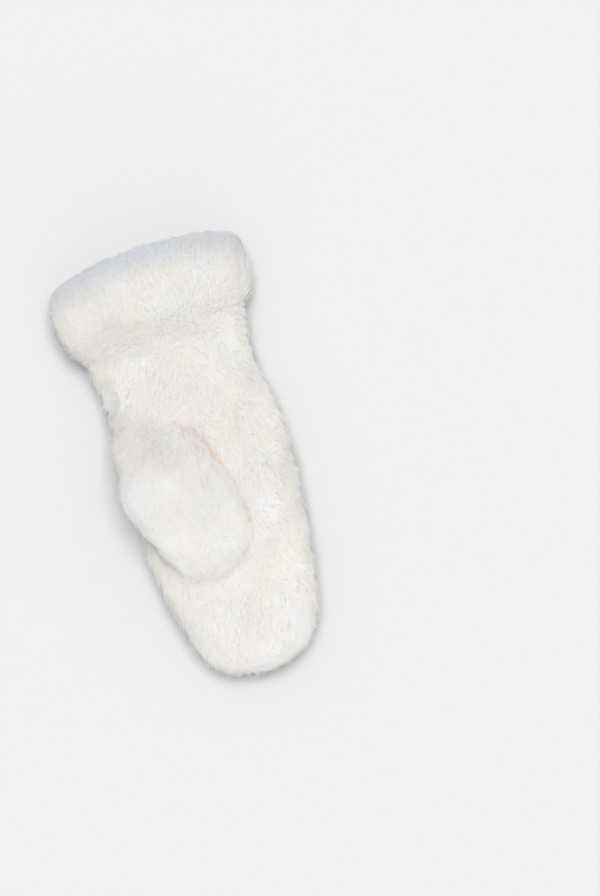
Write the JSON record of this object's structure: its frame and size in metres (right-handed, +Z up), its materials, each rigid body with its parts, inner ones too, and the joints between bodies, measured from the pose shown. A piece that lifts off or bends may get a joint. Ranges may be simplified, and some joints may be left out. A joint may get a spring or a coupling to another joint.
{
  "type": "fur mitten",
  "caption": "Ivory fur mitten for the right hand, lying on its back: palm and back panels, a folded-over thumb, a gathered wrist and a flared doubled cuff, hollow throughout.",
  "frame": {"origin": "Middle of the underside, on the surface the mitten lies on", "axes": "+X across the palm away from the thumb, +Y from the fingertips to the cuff, +Z up out of the palm"},
  "size_m": [0.1318, 0.2796, 0.0689],
  "materials": {
    "ivory_fur": "matt long pile fur, soft sheen",
    "fur_backing": "matt short pile knit backing"
  },
  "bodies": {
    "root": {"palm_panel": "ivory_fur", "back_panel": "ivory_fur", "thumb": "ivory_fur", "cuff": "ivory_fur"}
  },
  "joints": []
}
